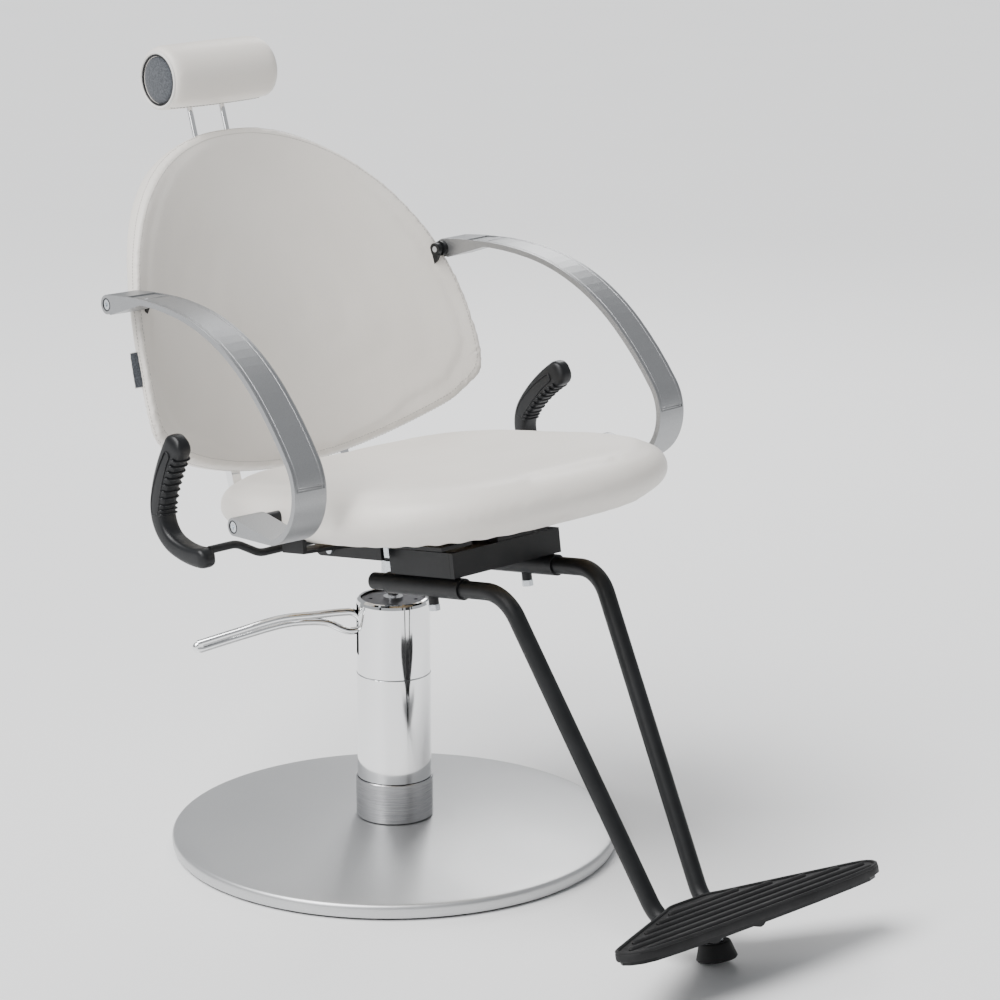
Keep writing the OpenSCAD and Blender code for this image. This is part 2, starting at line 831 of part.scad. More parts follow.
module headrest_cushion() {
  r = headrest_radius;
  h = headrest_half;
  color("whitesmoke") difference() {
    on_headrest() rotate_extrude() polygon([[33.3, -h + 4], [36, -h + 1], [39, -h], [42, -h + 2],
      [44.3, -h + 6], [r, -h + 12], [r, h - 12], [44.3, h - 6], [42, h - 2], [39, h], [36, h - 1],
      [33.3, h - 4]]);
    in_back() for (side = [-1, 1]) translate([side * headrest_rod_x, -headrest_rod_n, 440]) {
      cylinder(r = 4.4, h = 70);
    }
  }
}

module headrest_caps() {
  color("#3a3f45") on_headrest() for (side = [-1, 1]) {
    translate([0, 0, side * (headrest_half - 5)]) cylinder(r = 33, h = 8, center = true);
  }
}

floor_pad();
base_plate();
base_cover();
base_collar();
pump_cylinder();
lower_shroud();
upper_shroud();
pump_head();
column_cap();
rod_seal();
pedal_pin();
pump_pedal();
piston_rod();
swivel_hub();
hub_washer();
head_block();
tilt_pin();
chassis_box();
front_crossbar();
mechanism_cover();
side_plate_left();
side_plate_right();
seat_rails();
seat_spacers();
seat_board();
seat_cushion();
back_uprights();
back_board();
back_cushion();
back_pad();
back_tag();
back_tabs();
headrest_clamp();
clamp_plate_screws();
arm_left();
arm_right();
arm_inlays();
arm_bolts();
arm_washers();
arm_brackets();
footrest_sleeves();
lever_bushes();
lever_left();
lever_right();
footrest_tube_left();
footrest_tube_right();
footplate_frame();
footplate_mat();
foot_stud();
foot_nut();
rubber_foot();
clamp_screw_left();
clamp_screw_right();
headrest_rods();
headrest_core();
headrest_cushion();
headrest_caps();
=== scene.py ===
"""Looks of the styling chair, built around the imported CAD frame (metres, -Y is the front)."""
import json
import math

import bmesh
import bpy
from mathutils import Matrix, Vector
from mathutils.bvhtree import BVHTree
from mathutils.kdtree import KDTree


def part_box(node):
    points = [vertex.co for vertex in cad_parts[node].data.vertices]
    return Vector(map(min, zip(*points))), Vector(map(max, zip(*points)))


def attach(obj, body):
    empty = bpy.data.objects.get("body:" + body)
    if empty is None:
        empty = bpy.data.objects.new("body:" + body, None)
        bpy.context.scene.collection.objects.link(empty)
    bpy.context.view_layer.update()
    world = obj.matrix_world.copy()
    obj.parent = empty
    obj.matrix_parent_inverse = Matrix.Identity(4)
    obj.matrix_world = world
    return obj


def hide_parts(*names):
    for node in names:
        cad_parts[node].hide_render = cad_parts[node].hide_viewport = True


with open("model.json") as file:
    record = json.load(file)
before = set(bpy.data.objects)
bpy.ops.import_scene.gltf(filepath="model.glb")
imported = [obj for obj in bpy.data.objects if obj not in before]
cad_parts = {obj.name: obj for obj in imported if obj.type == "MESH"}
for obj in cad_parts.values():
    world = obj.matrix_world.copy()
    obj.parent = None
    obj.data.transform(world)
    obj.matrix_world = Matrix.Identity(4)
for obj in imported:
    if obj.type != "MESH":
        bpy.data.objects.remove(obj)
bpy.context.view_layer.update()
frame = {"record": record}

MM = 0.001

# The three tilted local frames of the CAD part: origin (mm) and pitch (degrees).
SEAT = ((0, -65, 438), 8.3)
BACK = ((0, 181, 470), 17.5)
PLATE = ((0, -525.7, 66.6), 12.8)

# Arms: middle plane (mm from the centre) and splay (degrees), then the outer line as (radius, turn) arcs.
ARM_MID, ARM_SPLAY = 290, 3.4
ARM_START, ARM_HEADING = (190, 735), 168.5
ARM_ARCS = [(468, 19.5), (295, 34), (450, 12), (70, 36), (70, 55), (60, 20)]


# ---------------------------------------------------------------- geometry helpers

def tilted(local, x, y, z):
    """Point of a tilted CAD frame, given in mm, as a world point in metres."""
    origin, pitch = local
    c, s = math.cos(math.radians(pitch)), math.sin(math.radians(pitch))
    return Vector((origin[0] + x, origin[1] + y * c + z * s, origin[2] - y * s + z * c)) * MM


def in_arm(side, x, y, z):
    """Point of an arm's plane: x outward from its middle, side +1 is the sitter's left."""
    c, s = math.cos(math.radians(ARM_SPLAY)), math.sin(math.radians(ARM_SPLAY))
    return Vector((side * (ARM_MID + x * c - y * s), x * s + y * c, z)) * MM


def make(name, verts, faces, material, body, replaced=(), sharp=35, slot=None):
    """New mesh piece that rides on a body and stands for some CAD nodes."""
    mesh = bpy.data.meshes.new(name)
    mesh.from_pydata([tuple(v) for v in verts], [], faces)
    bm = bmesh.new()
    bm.from_mesh(mesh)
    bmesh.ops.recalc_face_normals(bm, faces=bm.faces)
    bm.to_mesh(mesh)
    bm.free()
    obj = bpy.data.objects.new(name, mesh)
    bpy.context.scene.collection.objects.link(obj)
    mesh.materials.append(material)
    shade(obj, sharp)
    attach(obj, body)
    if replaced:
        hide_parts(*replaced)
    return obj


def shade(obj, sharp):
    """Smooth shading that breaks at edges sharper than an angle in degrees."""
    obj.data.polygons.foreach_set("use_smooth", [True] * len(obj.data.polygons))
    obj.data.set_sharp_from_angle(angle=math.radians(sharp))


def skin(rings):
    """Faces over a list of equally long closed rings, capped with a centre point at each end."""
    n = len(rings[0])
    verts = [v for ring in rings for v in ring]
    faces = [(i * n + j, i * n + (j + 1) % n, (i + 1) * n + (j + 1) % n, (i + 1) * n + j)
             for i in range(len(rings) - 1) for j in range(n)]
    for base in (0, (len(rings) - 1) * n):
        ring = verts[base:base + n]
        verts.append(sum(ring, Vector()) / n)
        faces += [(base + j, base + (j + 1) % n, len(verts) - 1) for j in range(n)]
    return verts, faces


def join(parts):
    """One vertex and face list from several."""
    verts, faces = [], []
    for v, f in parts:
        k = len(verts)
        verts += v
        faces += [tuple(i + k for i in face) for face in f]
    return verts, faces


def tube(path, radius, sides=20, squash=None):
    """Round bar along a path; radius may be a function of the fraction along it."""
    rings, side = [], None
    n = len(path)
    for i, p in enumerate(path):
        d = (path[min(i + 1, n - 1)] - path[max(i - 1, 0)]).normalized()
        side = (d.orthogonal() if side is None else side - d * side.dot(d)).normalized()
        up = d.cross(side)
        f = i / (n - 1)
        r = radius(f) if callable(radius) else radius
        a, b = (r * k for k in squash(f)) if squash else (r, r)
        rings.append([p + side * a * math.cos(t) + up * b * math.sin(t)
                      for t in (2 * math.pi * k / sides for k in range(sides))])
    return skin(rings)


def round_tube(points, radius, bend, sides=20, steps=8):
    """Bar through points with its corners rounded."""
    path = [points[0]]
    for a, k, b in zip(points, points[1:], points[2:]):
        p, q = k + (a - k).normalized() * bend, k + (b - k).normalized() * bend
        path += [p.lerp(k, t).lerp(k.lerp(q, t), t) for t in (i / steps for i in range(steps + 1))]
    return tube(path + [points[-1]], radius, sides)


def lathe(profile, place, segments=128):
    """Closed solid of revolution: profile of (radius, height), place maps (x, y, z) to the world."""
    rings = [[place(r * math.cos(t), r * math.sin(t), z)
              for t in (2 * math.pi * k / segments for k in range(segments))] for r, z in profile]
    return skin(rings)


def smoothed(points, steps=6):
    """Catmull-Rom curve through 2-D or 3-D points."""
    out = []
    pts = [Vector(p) for p in points]
    pts = [pts[0] * 2 - pts[1]] + pts + [pts[-1] * 2 - pts[-2]]
    for a, b, c, d in zip(pts, pts[1:], pts[2:], pts[3:]):
        for i in range(steps):
            t = i / steps
            out.append(0.5 * (2 * b + (c - a) * t + (2 * a - 5 * b + 4 * c - d) * t * t
                              + (3 * b - a - 3 * c + d) * t ** 3))
    return out + [pts[-2]]


def arc_chain(start, heading, arcs, step=2.0):
    """(y, z, heading) along tangent arcs that turn left."""
    out = [(start[0], start[1], heading)]
    for radius, turn in arcs:
        y, z, h = out[-1]
        n = max(2, math.ceil(turn / step))
        for i in range(1, n + 1):
            a, b = math.radians(h), math.radians(h + turn * i / n)
            out.append((y + radius * (math.sin(b) - math.sin(a)),
                        z + radius * (math.cos(a) - math.cos(b)), h + turn * i / n))
    return out


def apply_modifier(obj, name):
    """Makes a modifier's result the mesh itself."""
    with bpy.context.temp_override(object=obj, active_object=obj, selected_objects=[obj]):
        bpy.ops.object.modifier_apply(modifier=name)


def bevel(obj, width, segments, angle):
    """Rounds the edges sharper than an angle in degrees."""
    m = obj.modifiers.new("bevel", "BEVEL")
    m.width, m.segments, m.limit_method = width, segments, "ANGLE"
    m.angle_limit = math.radians(angle)
    apply_modifier(obj, "bevel")
    shade(obj, 40)


# ---------------------------------------------------------------- materials

class Nodes:
    """Short wiring of one principled material."""

    def __init__(self, name, color, roughness, metallic=0.0, **sockets):
        self.material = bpy.data.materials.new(name)
        self.material.use_nodes = True
        self.tree = self.material.node_tree
        self.shader = self.tree.nodes["Principled BSDF"]
        self.set(self.shader, {"Base Color": (*color, 1), "Roughness": roughness, "Metallic": metallic})
        self.set(self.shader, {k.replace("_", " "): v for k, v in sockets.items()})
        self.coords = self.add("ShaderNodeTexCoord").outputs["Object"]
        self.height = None

    def set(self, node, values):
        for key, value in values.items():
            node.inputs[key].default_value = value

    def add(self, kind, **values):
        node = self.tree.nodes.new(kind)
        for key, value in values.items():
            if key in node.inputs:
                node.inputs[key].default_value = value
            else:
                setattr(node, key, value)
        return node

    def link(self, a, b):
        self.tree.links.new(a, b)

    def stretched(self, scale):
        m = self.add("ShaderNodeMapping")
        m.inputs["Scale"].default_value = scale
        self.link(self.coords, m.inputs["Vector"])
        return m.outputs["Vector"]

    def noise(self, scale, detail=3.0, vector=None):
        n = self.add("ShaderNodeTexNoise", Scale=scale, Detail=detail)
        self.link(vector or self.coords, n.inputs["Vector"])
        return n.outputs["Fac"]

    def cells(self, scale):
        n = self.add("ShaderNodeTexVoronoi", Scale=scale)
        n.feature = "SMOOTH_F1"
        self.link(self.coords, n.inputs["Vector"])
        return n.outputs["Distance"]

    def ranged(self, value, low, high):
        m = self.add("ShaderNodeMapRange")
        m.inputs["To Min"].default_value, m.inputs["To Max"].default_value = low, high
        self.link(value, m.inputs["Value"])
        return m.outputs["Result"]

    def tint(self, value, dark, light):
        ramp = self.add("ShaderNodeValToRGB")
        ramp.color_ramp.elements[0].color, ramp.color_ramp.elements[1].color = (*dark, 1), (*light, 1)
        ramp.color_ramp.elements[0].position, ramp.color_ramp.elements[1].position = 0.3, 0.7
        self.link(value, ramp.inputs["Fac"])
        self.link(ramp.outputs["Color"], self.shader.inputs["Base Color"])

    def rough(self, value, low, high):
        self.link(self.ranged(value, low, high), self.shader.inputs["Roughness"])

    def bump(self, value, distance, strength=1.0):
        b = self.add("ShaderNodeBump", Distance=distance, Strength=strength)
        self.link(value, b.inputs["Height"])
        if self.height:
            self.link(self.height, b.inputs["Normal"])
        self.height = b.outputs["Normal"]
        self.link(self.height, self.shader.inputs["Normal"])


def leather(name, light, dark, grain=1.0):
    m = Nodes(name, light, 0.45, Specular_IOR_Level=0.45, Sheen_Weight=0.06, Sheen_Roughness=0.5)
    m.tint(m.noise(6, 4), dark, light)
    m.rough(m.noise(60, 3), 0.38, 0.5)
    m.bump(m.noise(14, 3), 0.0012, 0.25)
    m.bump(m.cells(620), 0.0002 * grain, 0.55)
    m.bump(m.noise(1500, 2), 0.0001 * grain, 0.4)
    return m.material


def satin_paint():
    m = Nodes("satin_silver_paint", (0.56, 0.565, 0.57), 0.42, 0.85, Coat_Weight=0.25, Coat_Roughness=0.25)
    m.tint(m.noise(2600, 2), (0.47, 0.475, 0.48), (0.63, 0.635, 0.64))
    m.rough(m.noise(9, 4), 0.36, 0.46)
    m.bump(m.noise(1800, 2), 0.00006, 0.5)
    return m.material


def chrome():
    m = Nodes("polished_chrome", (0.86, 0.865, 0.87), 0.05, 1.0)
    m.rough(m.noise(35, 3), 0.03, 0.08)
    m.bump(m.noise(9, 2), 0.0006, 0.08)
    return m.material


def brushed(name, color, stretch, roughness=0.3):
    m = Nodes(name, color, roughness, 1.0)
    lines = m.noise(60, 4, m.stretched(stretch))
    m.tint(lines, tuple(c * 0.82 for c in color), tuple(min(1, c * 1.12) for c in color))
    m.rough(lines, roughness - 0.06, roughness + 0.08)
    m.bump(lines, 0.00008, 0.4)
    return m.material


def satin_aluminium():
    m = Nodes("satin_aluminium", (0.36, 0.365, 0.372), 0.42, 0.9)
    fine = m.noise(1400, 2)
    m.tint(fine, (0.31, 0.315, 0.322), (0.41, 0.415, 0.422))
    m.rough(m.noise(30, 3), 0.38, 0.46)
    m.bump(fine, 0.00007, 0.5)
    return m.material


def powder_coat():
    m = Nodes("black_powder_coat", (0.006, 0.0065, 0.007), 0.42, 0.0, Specular_IOR_Level=0.32)
    m.tint(m.noise(40, 3), (0.004, 0.0045, 0.005), (0.008, 0.0085, 0.0095))
    m.rough(m.noise(300, 2), 0.36, 0.5)
    m.bump(m.noise(900, 3), 0.00015, 0.6)
    return m.material


def black_plastic():
    m = Nodes("black_moulded_plastic", (0.006, 0.0065, 0.0075), 0.38, 0.0, Specular_IOR_Level=0.36)
    m.tint(m.noise(25, 3), (0.0045, 0.005, 0.006), (0.009, 0.0095, 0.0105))
    m.rough(m.noise(180, 2), 0.32, 0.46)
    m.bump(m.cells(900), 0.00012, 0.5)
    return m.material


def rubber():
    m = Nodes("black_rubber", (0.008, 0.008, 0.0085), 0.62, 0.0, Specular_IOR_Level=0.3)
    m.tint(m.noise(18, 4), (0.006, 0.006, 0.0065), (0.013, 0.013, 0.0135))
    m.rough(m.noise(90, 3), 0.52, 0.72)
    m.bump(m.noise(700, 3), 0.0002, 0.6)
    return m.material


def felt():
    m = Nodes("slate_felt", (0.035, 0.04, 0.048), 0.9, 0.0, Sheen_Weight=0.3, Sheen_Roughness=0.5)
    m.tint(m.noise(420, 4), (0.02, 0.024, 0.03), (0.075, 0.082, 0.095))
    m.bump(m.noise(800, 4), 0.0006, 0.8)
    return m.material


def plywood():
    m = Nodes("birch_plywood", (0.6, 0.45, 0.28), 0.6)
    m.tint(m.noise(20, 4, m.stretched((1, 12, 12))), (0.5, 0.36, 0.2), (0.68, 0.52, 0.34))
    m.bump(m.noise(120, 3, m.stretched((1, 10, 10))), 0.0002, 0.4)
    return m.material


LEATHER = leather("white_leatherette", (0.81, 0.77, 0.715), (0.755, 0.715, 0.66))
PIPING = leather("white_piping", (0.78, 0.765, 0.735), (0.72, 0.705, 0.68), 0.6)
THREAD = leather("grey_thread", (0.5, 0.48, 0.45), (0.42, 0.40, 0.37), 0.4)
SATIN = satin_paint()
CHROME = chrome()
RING = brushed("brushed_ring", (0.5, 0.5, 0.51), (0.3, 0.3, 40), 0.25)
ZINC = brushed("bright_zinc", (0.62, 0.65, 0.68), (6, 6, 6), 0.26)
STEEL = brushed("dark_steel", (0.10, 0.10, 0.11), (4, 4, 4), 0.4)
ALUMINIUM = satin_aluminium()
PIPED_METAL = brushed("bright_edge_metal", (0.5, 0.5, 0.51), (5, 5, 5), 0.36)
BLACK = powder_coat()
PLASTIC = black_plastic()
RUBBER = rubber()
FELT = felt()
WOOD = plywood()

SLOT_LOOK = {
    "rubber_black": RUBBER, "steel_dark": STEEL, "satin_silver": SATIN, "brushed": RING, "chrome": CHROME,
    "zinc": ZINC, "black_coat": BLACK, "plywood": WOOD, "white_leather": LEATHER, "tag_fabric": FELT,
    "satin_aluminium": ALUMINIUM, "plastic_black": PLASTIC, "slate_fabric": FELT,
}


def dress_frame():
    """Every CAD node that stays visible gets its full material."""
    for part in frame["record"]["subparts"]:
        obj = bpy.data.objects.get(part["node"])
        look = SLOT_LOOK[part["material_slot"]]
        if obj and obj.type == "MESH":
            for s in obj.material_slots:
                s.material = look


# ---------------------------------------------------------------- soft goods

CLOTH_PRESSURE, CLOTH_MASS, CLOTH_FRAMES = 4.0, 0.3, 20


def soften(obj, voxel, cap):
    """Cloth simulation of a padded cover: remesh, inflate, cap the movement, subdivide."""
    scene = bpy.context.scene
    m = obj.modifiers.new("remesh", "REMESH")
    m.mode, m.voxel_size, m.use_smooth_shade = "VOXEL", voxel, True
    apply_modifier(obj, "remesh")
    m = obj.modifiers.new("even", "SMOOTH")
    m.factor, m.iterations = 0.5, 4
    apply_modifier(obj, "even")
    rest = [(v.co.copy(), v.normal.copy()) for v in obj.data.vertices]
    cloth = obj.modifiers.new("cloth", "CLOTH")
    s = cloth.settings
    s.use_pressure, s.uniform_pressure_force = True, CLOTH_PRESSURE
    s.quality, s.mass = 5, CLOTH_MASS
    s.tension_stiffness = s.compression_stiffness = 18
    s.shear_stiffness, s.bending_stiffness = 8, 0.6
    s.effector_weights.gravity = 0
    cloth.collision_settings.use_collision = False
    cloth.point_cache.frame_start, cloth.point_cache.frame_end = 1, CLOTH_FRAMES
    for f in range(1, CLOTH_FRAMES + 1):
        scene.frame_set(f)
    depsgraph = bpy.context.evaluated_depsgraph_get()
    moved = [v.co.copy() for v in obj.evaluated_get(depsgraph).data.vertices]
    obj.modifiers.remove(cloth)
    scene.frame_set(1)
    obj.data.update()
    # Only the movement along the normal is kept, so the cover fills out without sliding.
    for v, (a, n), b in zip(obj.data.vertices, rest, moved):
        out = max(-0.2 * cap, (b - a).dot(n))
        v.co = a + n * cap * math.tanh(out / cap)
    m = obj.modifiers.new("settle", "SMOOTH")
    m.factor, m.iterations = 0.5, 5
    apply_modifier(obj, "settle")
    m = obj.modifiers.new("sub", "SUBSURF")
    m.levels = m.render_levels = 1
    apply_modifier(obj, "sub")
    shade(obj, 180)


def match_box(obj, *nodes):
    """Stretches a cover slightly so that its box is the box of the CAD solids it stands for."""
    corners = [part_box(n) for n in nodes]
    low = [min(c[0][k] for c in corners) for k in range(3)]
    high = [max(c[1][k] for c in corners) for k in range(3)]
    now = [(min(v.co[k] for v in obj.data.vertices), max(v.co[k] for v in obj.data.vertices)) for k in range(3)]
    for v in obj.data.vertices:
        for k in range(3):
            f = (v.co[k] - now[k][0]) / (now[k][1] - now[k][0])
            v.co[k] = low[k] + f * (high[k] - low[k])


def surface_of(obj):
    """Search tree of a piece's faces."""
    bm = bmesh.new()
    bm.from_mesh(obj.data)
    tree = BVHTree.FromBMesh(bm)
    bm.free()
    return tree


def laid_on(obj, path):
    """Path points moved onto a piece's surface, each with the surface normal there."""
    tree = surface_of(obj)
    return [tree.find_nearest(p)[:2] for p in path]


def groove(obj, path, depth, width):
    """Pulls the surface in along a path, as a sewn seam does."""
    tree = KDTree(len(path))
    for i, p in enumerate(path):
        tree.insert(p, i)
    tree.balance()
    normals = [v.normal.copy() for v in obj.data.vertices]
    for v, n in zip(obj.data.vertices, normals):
        d = tree.find(v.co)[2]
        if d < 3 * width:
            v.co -= n * depth * math.exp(-(d / width) ** 2)


def even_path(points, spacing, closed=False):
    """Points at an even spacing along a line."""
    pts = points + ([points[0]] if closed else [])
    out, left = [pts[0].copy()], spacing
    for a, b in zip(pts, pts[1:]):
        length = (b - a).length
        pos = left
        while pos <= length:
            out.append(a.lerp(b, pos / length))
            pos += spacing
        left = pos - length
    return out


def stitches(name, obj, path, body, material, length, pitch, radius, lift=0.15):
    """A row of separate thread stitches lying on a piece; sizes in mm."""
    parts = []
    dots = laid_on(obj, even_path(path, pitch * MM))
    for (p, n), (q, _) in zip(dots, dots[1:]):
        if (q - p).length < pitch * MM * 1.6:
            d = (q - p).normalized() * length * MM
            a, b = p + n * lift * MM, p + d + n * lift * MM
            ends = [a - n * 0.5 * MM, a.lerp(b, 0.15), a.lerp(b, 0.5) + n * 0.15 * MM, a.lerp(b, 0.85),
                    b - n * 0.5 * MM]
            parts.append(tube(ends, radius * MM, 6))
    make(name, *join(parts), material, body, sharp=180, slot="white_leather")


# ---------------------------------------------------------------- seat cushion

# Plan of the seat about its middle, and how far the cover stands inside its widest line.
SEAT_MID, SEAT_FRONT, SEAT_REAR, SEAT_HALF = -52, 245, 241, 255
SEAT_TRIM, SEAT_TAPER = 2.5, 0.07
FRONT_POWER, REAR_POWER = 2.7, 4.2

# Section of the cover's edge from below to above: (inset, height).
SOFT_EDGE = [(150, 19), (110, 19), (90, 18.5), (76, 15.5), (66, 15.5), (42, 20), (22, 26.5), (9, 35),
             (2.5, 44), (0, 53), (2, 63), (7.5, 72.5), (17, 79.5), (30, 83.5), (48, 85.5), (80, 85.6),
             (120, 84.6), (165, 83.6), (205, 83)]

# Staple pulls: height they reach up to, depth, number round the seat, least distance from the middle.
PULL_TOP, PULL_DEPTH, PULL_COUNT, PULL_CLEAR = 36, 1.6, 46, 0.19


def seat_outline(count=128):
    """Plan points of the seat: rounder at the front, squarer and narrower at the rear."""
    out = []
    for k in range(count):
        t = 2 * math.pi * k / count
        c, s = math.cos(t), math.sin(t)
        n, length = (FRONT_POWER, SEAT_FRONT) if s < 0 else (REAR_POWER, SEAT_REAR)
        v = math.copysign(abs(s) ** (2 / n), s) * (length - SEAT_TRIM)
        taper = 1 - SEAT_TAPER * max(0, v) / SEAT_REAR
        out.append(Vector((math.copysign(abs(c) ** (2 / n), c) * (SEAT_HALF - SEAT_TRIM) * taper, v)))
    return out


def seat_cushion():
    """The padded seat in its cover."""
    outline = seat_outline()
    rings = []
    for inset, w in SOFT_EDGE:
        ring = []
        for q in outline:
            f = max(0.02, 1 - inset / q.length)
            ring.append(tilted(SEAT, q.x * f, SEAT_MID + q.y * f, w))
        rings.append(ring)
    seat = make("seat_cushion_cover", *skin(rings), LEATHER, "seat_unit", ["seat_cushion"], 180, "white_leather")
    soften(seat, 6 * MM, 2.5 * MM)
    match_box(seat, "seat_cushion")
    gather(seat)


def gather(seat):
    """Small pulls round the cover's underside where it is stapled to the board."""
    centre = tilted(SEAT, 0, SEAT_MID, 40)
    up = (tilted(SEAT, 0, 0, 1) - tilted(SEAT, 0, 0, 0)).normalized()
    for v in seat.data.vertices:
        d = v.co - centre
        w = d.dot(up) / MM + 40
        if w < PULL_TOP and math.hypot(d.x, d.y) > PULL_CLEAR:
            a = math.atan2(d.y, d.x)
            ripple = math.sin(a * PULL_COUNT + 1.7 * math.sin(a * 5)) * 0.5 + 0.5
            corner = abs(math.sin(2 * a)) ** 2
            v.co += up * MM * PULL_DEPTH * ripple * corner * min(1, (PULL_TOP - w) / 12)


# ---------------------------------------------------------------- back

# Outline of the back in its own frame, s across and t up: round lower corners, a rounded top.
BACK_HALF, BACK_MID, BACK_TOP, CORNER_R = 278, 108, 340, 30
CORNER = (BACK_HALF - CORNER_R, 94)
BACK_POWER, BACK_CENTRE = 2.1, 228

# Parabolas s * s / wrap: the hollow of the front face and the dip of the lower edge.
BACK_WRAP, LOWER_EDGE_WRAP = 920, 1360


def back_outline(count=160):
    """Closed outline of the back (s, t), evenly spaced."""
    half = [Vector((s, 8 + s ** 2 / LOWER_EDGE_WRAP)) for s in (k * (CORNER[0] - 12) / 12 for k in range(13))]
    half += [Vector((CORNER[0] + CORNER_R * math.cos(math.radians(a)),
                     CORNER[1] + CORNER_R * math.sin(math.radians(a)))) for a in range(-56, -9, 8)]
    for k in range(61):
        t = math.radians(1.5 * k)
        half.append(Vector((BACK_HALF * math.cos(t) ** (2 / BACK_POWER),
                            BACK_MID + BACK_TOP * math.sin(t) ** (2 / BACK_POWER))))
    loop = half + [Vector((-q.x, q.y)) for q in reversed(half[1:-1])]
    total = sum((b - a).length for a, b in zip(loop, loop[1:] + loop[:1]))
    return even_path(loop, total / count, True)[:count]


def front_face(s):
    """Depth of the back's hollow front at a distance s from the middle."""
    return -s * s / BACK_WRAP


def rear_face(s, t):
    """Depth of the back's rear: thin at its sides and top, blended softly."""
    side = 45 - 112 * (s / BACK_HALF) ** 2 + 3.2 * math.exp(-((abs(s) - 205) / 45) ** 2)
    low = 28 + 17 * min(1, max(0, (t + 20) / 80))
    top = 45 if t < 300 else 45 - 11 * min(1, (t - 300) / 30) - 17 * max(0, (t - 330) / 130)
    k = 4.0
    return -k * math.log(math.exp(-side / k) + math.exp(-min(low, top) / k))


def back_ring(outline, scale, depth):
    """Ring of the back at a scale about its middle; depth blends front face (0) to rear face (1)."""
    ring = []
    for q in outline:
        s, t = q.x * scale, BACK_CENTRE + (q.y - BACK_CENTRE) * scale
        f, r = front_face(s), rear_face(s, t)
        ring.append(tilted(BACK, s, f + (r - f) * depth, t))
    return ring


def back_cushion():
    """The padded back in its cover, with its two sewn edges and their thread."""
    outline = back_outline()
    steps = [(0.06, 0), (0.2, 0), (0.4, 0), (0.6, 0), (0.76, 0), (0.88, 0.01), (0.95, 0.02), (0.982, 0.05),
             (0.996, 0.17), (1, 0.36), (1, 0.64), (0.996, 0.84), (0.982, 0.95), (0.95, 1), (0.88, 1),
             (0.76, 1), (0.6, 1), (0.4, 1), (0.2, 1), (0.06, 1)]
    rings = [back_ring(outline, k * 0.994, d) for k, d in steps]
    back = make("back_cushion_cover", *skin(rings), LEATHER, "seat_unit", ["back_cushion", "back_pad"], 180,
                "white_leather")
    soften(back, 5 * MM, 1.6 * MM)
    match_box(back, "back_cushion", "back_pad")
    pleats(back)
    for seam in (back_ring(outline, 0.99, 0.17), back_ring(outline, 0.99, 0.86)):
        groove(back, even_path([p for p, _ in laid_on(back, seam)], 1.5 * MM, True), 0.5 * MM, 3.0 * MM)
    for word, scale, depth in (("front", 0.972, 0.03), ("side", 1.0, 0.3)):
        line = back_ring(outline, scale, depth)
        stitches(f"back_{word}_stitches", back, line + line[:1], "seat_unit", THREAD, 3.0, 4.8, 0.4)


def pleats(back):
    """Folds of the cover round the two lower corners."""
    for side in (-1, 1):
        centre = tilted(BACK, side * CORNER[0], front_face(CORNER[0]) + 6, CORNER[1])
        for v in back.data.vertices:
            d = v.co - centre
            r = math.hypot(d.x, d.z)
            if r < 0.05 and d.x * side > -0.012:
                a = math.atan2(d.z, d.x * side)
                if -1.9 < a < 0.9:
                    fold = math.sin(a * 17 + 0.6) * 0.5 + 0.5 * math.sin(a * 29)
                    v.co += v.normal * MM * 0.6 * fold * min(1, r / 0.02) * math.exp(-((r - 0.03) / 0.02) ** 2)


# ---------------------------------------------------------------- headrest

# Axis of the roll in the back's frame: height and depth; its underside is flattened below ROLL_FLAT.
ROLL_T, ROLL_BACK, ROLL_FLAT = 526, 19, -36


def roll_point(x, y, z):
    """Headrest frame: x along the roll, y to the rear, z up the back."""
    return tilted(BACK, x, ROLL_BACK + y, ROLL_T + z)


def headrest_roll():
    """The padded roll, its sewn ends and its lower seam."""
    profile = [(20, -79), (31, -80), (33.5, -81.5), (36.5, -84), (39.5, -85), (42, -83), (44, -79), (45, -72),
               (45.3, -50), (45.4, -20), (45.4, 20), (45.3, 50), (45, 72), (44, 79), (42, 83), (39.5, 85),
               (36.5, 84), (33.5, 81.5), (31, 80), (20, 79)]
    rings = []
    for r, x in profile:
        ring = []
        for k in range(72):
            t = 2 * math.pi * k / 72
            y, z = (r - 1) * math.cos(t), (r - 1) * math.sin(t)
            if z < ROLL_FLAT:
                z = ROLL_FLAT + (z - ROLL_FLAT) * 0.35
            ring.append(roll_point(x, y, z))
        rings.append(ring)
    roll = make("headrest_roll_cover", *skin(rings), LEATHER, "headrest", ["headrest_cushion"], 180, "white_leather")
    soften(roll, 4 * MM, 2.5 * MM)
    seam = [roll_point(x, 0, -48) for x in range(-78, 79, 4)]
    groove(roll, even_path([p for p, _ in laid_on(roll, seam)], 1.5 * MM), 1.4 * MM, 2.6 * MM)
    stitches("headrest_seam", roll, [roll_point(x, -3.2, -48) for x in range(-78, 79, 4)], "headrest", FELT,
             3.6, 5.4, 0.55)


def headrest_caps():
    """Fabric end caps, each inside a moulded ring and a piped edge."""
    for side, word in ((-1, "right"), (1, "left")):
        def place(a, b, h, side=side):
            return roll_point(side * h, a, b)
        felt_disc = lathe([(6, 84.3), (16, 84.1), (25, 83.7), (29.5, 83.0), (31, 81.8), (31, 77)], place, 72)
        make(f"headrest_cap_{word}", *felt_disc, FELT, "headrest", ["headrest_caps"], 180, "slate_fabric")
        make(f"headrest_ring_{word}", *torus(32.2, 1.5, 83.2, place), PLASTIC, "headrest", (), 180, "plastic_black")
        make(f"headrest_piping_{word}", *torus(35.4, 1.9, 84.2, place), PIPING, "headrest", (), 180, "white_leather")


